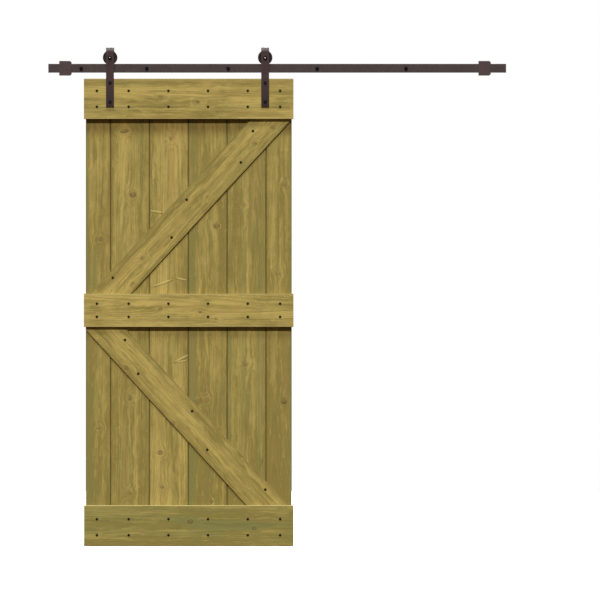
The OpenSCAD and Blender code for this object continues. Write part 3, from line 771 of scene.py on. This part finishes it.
def plank_mesh(index, low, high, knots):
    """One upright board: V edges in front, tongue at the right and groove at the left."""
    w = wood()
    first, last = index == 0, index == len(PLANKS) - 1
    front = low.y + MM
    body_high = high.copy()
    if not last:
        body_high.x -= w.tongue
    made = solid_box(low, body_high)
    if not first:
        left = edges_along(made, UPRIGHT, lambda m: m.x < low.x + MM and m.y < front)
        ease(made, left, w.vee, 1)
    if not last:
        right = edges_along(made, UPRIGHT, lambda m: m.x > body_high.x - MM and m.y < front)
        ease(made, right, w.vee, 1)
    tongue_y = (low.y + high.y + w.vee) / 2
    if not last:
        push(made, side_strip(made, body_high.x, tongue_y, 1), Vector((w.tongue, 0, 0)))
    if not first:
        push(made, side_strip(made, low.x, tongue_y, -1), Vector((w.tongue, 0, 0)))
    ease(made, edges_along(made, UPRIGHT, lambda m: m.y > high.y - MM), w.end_ease)
    if first or last:
        outer = low.x if first else high.x
        free = edges_along(made, UPRIGHT, lambda m: abs(m.x - outer) < MM and m.y < front)
        ease(made, free, w.end_ease)
    slice_across(made, Vector((low.x + PLANK_STRIP, 0, 0)), Vector((body_high.x - PLANK_STRIP, 0, 0)),
                 GRID_ACROSS)
    slice_across(made, Vector((0, 0, low.z)), Vector((0, 0, high.z)), GRID_ALONG)
    weather(made, low, high, index + 1, knots)
    return made


class BARNDOOR_OT_planks(bpy.types.Operator):
    """Makes the upright tongue-and-groove boards"""
    bl_idname = "barndoor.planks"
    bl_label = "Planks"

    def execute(self, context):
        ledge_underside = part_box("top_ledge")[0].z
        for index, (node, look) in enumerate(PLANKS.items()):
            low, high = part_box(node)
            made = plank_mesh(index, low, high, look["knots"])
            pine = stained_pine(f"{node}_pine", middle_at(low, high, low.y), 0.0, (high.x - low.x) / 2,
                                painted_shade=(ledge_underside - PAINTED_SHADE_END, ledge_underside - PAINTED_SHADE_FULL), **look)
            finish_piece(f"{node}_board", made, pine, "door", node)
        return {"FINISHED"}


class BARNDOOR_OT_ledges(bpy.types.Operator):
    """Makes the three boards that run across the leaf"""
    bl_idname = "barndoor.ledges"
    bl_label = "Ledges"

    def execute(self, context):
        w = wood()
        for node, look in LEDGES.items():
            low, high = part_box(node)
            made = solid_box(low, high)
            front, radius = low.y + MM, w.foot_ease if node == "bottom_ledge" else w.ledge_ease
            upper = edges_along(made, ACROSS, lambda m: m.y < front and m.z > high.z - MM)
            ease(made, upper, radius, 3)
            lower = edges_along(made, ACROSS, lambda m: m.y < front and m.z < low.z + MM)
            ease(made, lower, radius, 3, HIDDEN)
            ends = [e for e in sharp_edges(made) if all(v.co.x < low.x + MM for v in e.verts)
                    or all(v.co.x > high.x - MM for v in e.verts)]
            ease(made, ends, w.end_ease, 2, HIDDEN)
            slice_across(made, Vector((0, 0, low.z + LEDGE_STRIP)), Vector((0, 0, high.z - LEDGE_STRIP)),
                         GRID_ACROSS)
            slice_across(made, Vector((low.x, 0, 0)), Vector((high.x, 0, 0)), GRID_ALONG)
            weather(made, low, high, look["seed"], look["knots"])
            pine = stained_pine(f"{node}_pine", middle_at(low, high, low.y), math.pi / 2,
                                (high.z - low.z) / 2, screws=screw_marks(f"{node}_screws", node), **look)
            finish_piece(f"{node}_board", made, pine, "door", node)
        return {"FINISHED"}


def brace_line(node):
    """The middle, unit direction, width and length of a leaning board, from its CAD node's edges."""
    made = cad_copy(node)
    longest = max(made.edges, key=lambda e: e.calc_length())
    direction = (longest.verts[1].co - longest.verts[0].co).normalized()
    if direction.z < 0:
        direction = -direction
    square = Vector((direction.z, 0, -direction.x))
    reach = [v.co.dot(square) for v in made.verts]
    along = [v.co.dot(direction) for v in made.verts]
    made.free()
    middle = square * (min(reach) + max(reach)) / 2 + direction * (min(along) + max(along)) / 2
    return middle, direction, max(reach) - min(reach), max(along) - min(along)


class BARNDOOR_OT_braces(bpy.types.Operator):
    """Makes the two leaning boards, trimmed to the bays between the ledges"""
    bl_idname = "barndoor.braces"
    bl_label = "Braces"

    def execute(self, context):
        for node, look in BRACES.items():
            low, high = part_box(node)
            middle, direction, width, length = brace_line(node)
            middle.y = (low.y + high.y) / 2
            lean = math.atan2(direction.x, direction.z)
            half = Vector((width / 2, (high.y - low.y) / 2, length / 2 + width))
            made = solid_box(-half, half)
            ease(made, edges_along(made, UPRIGHT, lambda m: m.y < 0), wood().ledge_ease, 3)
            bmesh.ops.rotate(made, cent=(0, 0, 0), matrix=Matrix.Rotation(lean, 3, "Y"), verts=made.verts)
            bmesh.ops.translate(made, vec=middle, verts=made.verts)
            for corner, outward in ((low, (-1, 0, 0)), (high, (1, 0, 0)), (low, (0, 0, -1)),
                                    (high, (0, 0, 1))):
                cut = cut_through(made, corner, outward, clear_outer=True)
                rim = [g for g in cut["geom_cut"] if isinstance(g, bmesh.types.BMEdge)]
                if rim:
                    bmesh.ops.contextual_create(made, geom=rim)
            square = Vector((direction.z, 0, -direction.x)) * (width / 2 - LEDGE_STRIP)
            slice_across(made, middle - square, middle + square, GRID_ACROSS)
            slice_across(made, middle - direction * length / 2, middle + direction * length / 2, GRID_ALONG)
            weather(made, low, high, look["seed"], look["knots"])
            pine = stained_pine(f"{node}_pine", Vector((middle.x, low.y, middle.z)), lean, width / 2,
                                screws=screw_marks("brace_screws", node), **look)
            finish_piece(f"{node}_board", made, pine, "door", node)
        return {"FINISHED"}


class BARNDOOR_OT_wood_screws(bpy.types.Operator):
    """Makes the black screws that hold ledges and braces"""
    bl_idname = "barndoor.wood_screws"
    bl_label = "Wood screws"

    def execute(self, context):
        black = coated_steel("black_screws", steel().fixing, 0.55, 0.4, 0.05, gloss=0.15)
        for node in ("top_ledge_screws", "middle_ledge_screws", "bottom_ledge_screws", "brace_screws"):
            made = cad_copy(node)
            front = min(v.co.y for v in made.verts)
            rims = [e for e in sharp_edges(made) if all(v.co.y < front + MM for v in e.verts)]
            ease(made, rims, steel().small_ease)
            finish_piece(f"{node}_turned", made, black, "door", node)
        return {"FINISHED"}


# Bolts and nuts

LAG_CORE = 0.8  # core of a lag bolt's thread, in radii of its shank
LAG_THREAD_START = 1.2 * MM  # from the wall


def hexagon(flats):
    """Radius of a hexagon as a function of the angle, with corners to the left and right."""
    step = math.pi / 3
    return lambda angle: flats / 2 / math.cos(angle % step - step / 2)


def hex_rings(flats, height, cup=0.0, facing=1):
    """Rings of a forged hexagonal head from its seat outwards, with a turned bevel and a shallow cup."""
    outline, top = hexagon(flats), 0.47 * flats
    rings = [(outline, 0.0),
             (outline, lambda angle: facing * (height - (outline(angle) - top) * 0.62 - 0.02 * flats)),
             (top, facing * (height - 0.012 * flats)), (0.45 * flats, facing * height)]
    if cup:
        rings += [(0.2 * flats, facing * height), (0.16 * flats, facing * (height - 0.4 * cup)),
                  (0.08 * flats, facing * (height - cup)), (0.01 * flats, facing * (height - cup))]
    return rings


def shank_radius(flats):
    """Radius of the shank under a head of that width across its flats."""
    return flats / 3.2


def headed(made, low, high, seat, shank, cup=0.0):
    """A bolt whose hexagonal head stands in front of its seat. shank gives the rings behind it, from
    its radius and its reach, and a deep cup is left bare steel, which also stands in for a painted glint."""
    place = middle_at(low, high, seat)
    flats = high.z - low.z
    rings = shank(shank_radius(flats), high.y - seat)
    ring_stack(made, rings + hex_rings(flats, seat - low.y, cup, facing=-1), place)
    # The bare cup is partly worn steel and partly a painted glint in the middle of the head
    if cup > MM:
        worn = worn_layer(made)
        for face in made.faces:
            middle = face.calc_center_median()
            aside = math.hypot(middle.x - place.x, middle.z - place.z)
            if middle.y < low.y + 2 * MM and aside < 0.19 * flats:
                face[worn] = BARE_AND_GLINT


def bolt(made, low, high, seat, cup):
    """A bolt with a bevelled end."""
    def shank(radius, reach):
        return [(0.82 * radius, reach), (radius, reach - 0.18 * radius), (radius, 0.0)]

    headed(made, low, high, seat, shank, cup)


def nut(made, low, high):
    """A hexagonal nut with a bevelled rear edge and a countersunk bore."""
    flats, height = high.z - low.z, high.y - low.y
    bore = shank_radius(flats) + SHANK_GAP
    rings = [(bore + 0.4 * MM, 0.0), *hex_rings(flats, height), (bore + 0.5 * MM, height),
             (bore, height - 0.5 * MM), (bore, 0.4 * MM), (bore + 0.4 * MM, 0.0)]
    ring_stack_open(made, rings, middle_at(low, high, low.y))


def lag_bolt(made, low, high, seat):
    """A lag bolt with a tapered tip and a thread, whose plain shank ends at the wall."""
    def shank(radius, reach):
        core, wall = LAG_CORE * radius, -seat
        return [(0.1 * radius, reach), (core, reach - 3 * radius), (core, wall + MM),
                (0.95 * radius, wall - 0.5 * MM), (0.95 * radius, 0.0)]

    headed(made, low, high, seat, shank)
    lag_thread(made, middle_at(low, high, 0), shank_radius(high.z - low.z))


def lag_thread(made, place, radius, steps=20):
    """A ridge wound around a lag bolt's shank from the wall inwards."""
    pitch, turns = steel().thread_pitch, steel().thread_turns
    root = LAG_CORE * radius * 0.9
    section = [made.verts.new(place + Vector((r, LAG_THREAD_START + y, 0)))
               for r, y in ((root, -0.3 * pitch), (radius, -0.04 * pitch), (radius, 0.04 * pitch),
                            (root, 0.3 * pitch))]
    face = made.faces.new(section)
    bmesh.ops.spin(made, geom=[face, *face.edges, *section], cent=place, axis=(0, 1, 0),
                   dvec=(0, pitch / steps, 0), angle=2 * math.pi * turns, steps=turns * steps,
                   use_merge=False)


def forged_piece(node, material, body, shape, *sizes):
    """A piece of bolts or nuts, with one shape for each solid of a CAD node."""
    made = bmesh.new()
    for low, high in islands(node):
        shape(made, low, high, *sizes)
    finish_piece(f"{node}_forged", made, material, body, node)


# The track

class BARNDOOR_OT_track(bpy.types.Operator):
    """Makes the track, its spacers and its end stops"""
    bl_idname = "barndoor.track"
    bl_label = "Track"

    def execute(self, context):
        s = steel()
        coat = coated_steel("track_coat", s.track)
        eased_piece("track_bar", "track_rail", s.bar_ease, coat, "track")
        block = coated_steel("stop_coat", s.stop)
        for node in (f"end_stop_{side}" for side in SIDES):
            eased_piece(f"{node}_block", node, s.bar_ease, block, "track")
        for node in sorted(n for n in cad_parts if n.startswith("spacer_")):
            eased_piece(f"{node}_tube", node, s.small_ease, coat, "track")
        return {"FINISHED"}


class BARNDOOR_OT_lag_bolts(bpy.types.Operator):
    """Makes the lag bolts that hold the track, with their washers"""
    bl_idname = "barndoor.lag_bolts"
    bl_label = "Lag bolts"

    def execute(self, context):
        s = steel()
        black = coated_steel("black_lag_bolts", s.fixing, 0.45, 0.4, 0.1, gloss=0.2)
        forged_piece("lag_bolts", black, "track", lag_bolt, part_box("lag_washers")[0].y)
        eased_piece("lag_washers_pressed", "lag_washers", s.small_ease, black, "track")
        refinish(coated_steel("black_set_screws", s.fixing, 0.4, 0.3, 0.0), "stop_set_screws")
        return {"FINISHED"}


# The hangers

class BARNDOOR_OT_straps(bpy.types.Operator):
    """Makes the bent straps"""
    bl_idname = "barndoor.straps"
    bl_label = "Hanger straps"

    def execute(self, context):
        s = steel()
        low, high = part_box("hanger_strap_left")
        # Painted shade over the top of the bend, and the strap tinted darker down its leg
        painted_shade_over_wheel = (high.z - 9.5 * MM, high.z - 8 * MM, 0.85)
        darker_down_the_leg = (-60 * MM, low.z, 0.4)
        coat = coated_steel("hanger_coat", s.hanger, 0.52, worn=0.1, darker_bands=(painted_shade_over_wheel, darker_down_the_leg))
        for node in (f"hanger_strap_{side}" for side in SIDES):
            eased_piece(f"{node}_bar", node, s.bar_ease, coat, "door")
        return {"FINISHED"}


class BARNDOOR_OT_strap_fixings(bpy.types.Operator):
    """Makes the bolts that hold the straps, with their washers and nuts"""
    bl_idname = "barndoor.strap_fixings"
    bl_label = "Strap fixings"

    def execute(self, context):
        s = steel()
        black = coated_steel("black_bolts", s.fixing, 0.38, 0.35, 0.15, gloss=0.3)
        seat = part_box("hanger_strap_left")[0].y
        forged_piece("strap_bolts", black, "door", bolt, seat, 0.5 * MM)
        forged_piece("strap_nuts", black, "door", nut)
        eased_piece("strap_washers_pressed", "strap_washers", s.small_ease, black, "door")
        return {"FINISHED"}


class BARNDOOR_OT_axles(bpy.types.Operator):
    """Makes the bolts that the wheels turn on, with their nuts and sleeves"""
    bl_idname = "barndoor.axles"
    bl_label = "Axles"

    def execute(self, context):
        s = steel()
        black = coated_steel("black_axles", s.fixing, 0.38, 0.35, 0.15, gloss=0.3)
        for side in SIDES:
            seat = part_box(f"hanger_strap_{side}")[0].y
            forged_piece(f"axle_bolt_{side}", black, "door", bolt, seat, 1.2 * MM)
            forged_piece(f"axle_nut_{side}", black, "door", nut)
        sleeve = bright_steel("sleeve_steel", s.bearing, 0.34)
        refinish(sleeve, "axle_sleeves_left", "axle_sleeves_right")
        return {"FINISHED"}


FLANGE = 4.5 * MM  # how far the rims of a wheel stand out past its groove
BEARING_PARTS = ("inner_ring", "outer_ring", "shields", "cage", "balls")


class BARNDOOR_OT_wheels(bpy.types.Operator):
    """Makes the grooved wheels and finishes their bearings"""
    bl_idname = "barndoor.wheels"
    bl_label = "Wheels"

    def execute(self, context):
        s = steel()
        ground = bright_steel("bearing_steel_ground", s.bearing)
        clip = coated_steel("black_clips", s.fixing, 0.4, 0.2, 0.0)
        for side in SIDES:
            node = f"wheel_{side}"
            low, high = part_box(node)
            tread = (high.z - low.z) / 2 - FLANGE
            coat = coated_steel(f"wheel_coat_{side}", s.wheel, 0.45, worn=0.05,
                                polish=(middle_of(low, high), tread))
            eased_piece(f"{node}_turned", node, s.small_ease, coat, node)
            refinish(ground, *(f"bearing_{part}_{side}" for part in BEARING_PARTS))
            refinish(clip, f"bearing_clip_{side}")
        return {"FINISHED"}


# The stage

# Lamps beside the key light: width as seen from the door, height above level and side, in degrees
LAMPS = {"top": (13, 70, 0), "left": (20, 25, -101), "right": (20, 25, 101), "back": (25, 50, 165)}
FLOOR_RADIUS = 6


def pale_floor(stage):
    f = Finish("pale_floor")
    cast = f.cloud(f.here(), (1.5, 1.5, 1.5), 2)
    tint = f.mix(cast * 0.3, stage.floor[:], tuple(c * 0.97 for c in stage.floor))
    return f.surface(tint, 0.7 + (cast - 0.5) * 0.1, cast, 0.1 * MM, 0.2,
                     Emission_Color=WHITE, Emission_Strength=0.25)


def studio_sky(stage):
    """White behind the door, and a warm light from all round that is brighter overhead."""
    f = Finish("studio", "worlds")
    up = f.split(f.node("ShaderNodeTexCoord", output="Generated"))[2]
    glow = f.step(up, 0.6, 0.95) * (stage.fill * (stage.overhead - 1)) + stage.fill
    soft = f.node("ShaderNodeBackground", inputs={"Color": stage.fill_colour[:], "Strength": glow})
    plain = f.node("ShaderNodeBackground", inputs={"Color": WHITE, "Strength": 1.0})
    looked_at = f.node("ShaderNodeLightPath", output="Is Camera Ray")
    both = f.node("ShaderNodeMixShader", inputs={0: looked_at, 1: soft, 2: plain})
    f.node("ShaderNodeOutputWorld", inputs={"Surface": both})
    return f.owner


def add_lamp(name, strength, colour, width, height, side):
    """A far lamp at an angle above level and an angle to the side of straight on."""
    light = bpy.data.lights.new(name, "SUN")
    light.energy, light.angle, light.color = strength, width, colour
    lamp = bpy.data.objects.new(name, light)
    lamp.rotation_euler = (math.pi / 2 - height, 0, side)
    bpy.context.scene.collection.objects.link(lamp)


class BARNDOOR_OT_stage(bpy.types.Operator):
    """Sets up the camera, the lights and the floor"""
    bl_idname = "barndoor.stage"
    bl_label = "Stage"

    def execute(self, context):
        scene = context.scene
        stage = scene.barn_stage
        low, high = CAD_BOX
        middle = middle_of(low, high)
        camera_data = bpy.data.cameras.new("door_camera")
        camera_data.lens = stage.lens
        camera = bpy.data.objects.new("door_camera", camera_data)
        camera.location = (middle.x + stage.aim_right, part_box("top_ledge")[0].y - stage.distance,
                           middle.z - stage.aim_down)
        camera.rotation_euler = (math.pi / 2, 0, 0)
        scene.collection.objects.link(camera)
        scene.camera = camera

        add_lamp("key", stage.sun, WHITE, stage.sun_size, stage.sun_height, -stage.sun_side)
        for name, strength, colour in (("top", stage.top, stage.top_colour), ("left", stage.side, WHITE),
                                       ("right", stage.side, WHITE), ("back", stage.back, WHITE)):
            add_lamp(name, strength, colour, *map(math.radians, LAMPS[name]))
        scene.world = studio_sky(stage)
        scene.view_settings.view_transform = "Standard"

        made = bmesh.new()
        bmesh.ops.create_circle(made, cap_ends=True, radius=FLOOR_RADIUS, segments=96)
        bmesh.ops.translate(made, vec=(middle.x, 0, low.z - stage.floor_gap), verts=made.verts)
        mesh = bpy.data.meshes.new("pale_floor")
        made.to_mesh(mesh)
        made.free()
        mesh.materials.append(pale_floor(stage))
        floor = bpy.data.objects.new("pale_floor", mesh)
        scene.collection.objects.link(floor)
        floor.visible_diffuse = floor.visible_glossy = False
        return {"FINISHED"}


OPERATORS = (BARNDOOR_OT_stage, BARNDOOR_OT_planks, BARNDOOR_OT_ledges, BARNDOOR_OT_braces,
             BARNDOOR_OT_wood_screws, BARNDOOR_OT_track, BARNDOOR_OT_lag_bolts, BARNDOOR_OT_straps,
             BARNDOOR_OT_strap_fixings, BARNDOOR_OT_axles, BARNDOOR_OT_wheels)
SETTINGS = {"barn_wood": WoodSettings, "barn_steel": SteelSettings, "barn_stage": StageSettings}


class BARNDOOR_PT_panel(bpy.types.Panel):
    """Lists the pieces of the barn door and their settings"""
    bl_idname = "BARNDOOR_PT_panel"
    bl_label = "Barn Door"
    bl_space_type = "VIEW_3D"
    bl_region_type = "UI"
    bl_category = "Barn Door"

    def draw(self, context):
        for operator in OPERATORS:
            self.layout.operator(operator.bl_idname)
        for group, cls in SETTINGS.items():
            for setting in cls.__annotations__:
                self.layout.prop(getattr(context.scene, group), setting)


def register():
    for cls in (*SETTINGS.values(), *OPERATORS, BARNDOOR_PT_panel):
        bpy.utils.register_class(cls)
    for name, cls in SETTINGS.items():
        setattr(bpy.types.Scene, name, PointerProperty(type=cls))


def unregister():
    for name in SETTINGS:
        delattr(bpy.types.Scene, name)
    for cls in reversed((*SETTINGS.values(), *OPERATORS, BARNDOOR_PT_panel)):
        bpy.utils.unregister_class(cls)


def main():
    register()
    for operator in OPERATORS:
        group, name = operator.bl_idname.split(".")
        getattr(getattr(bpy.ops, group), name)()


if __name__ == "__main__":
    main()
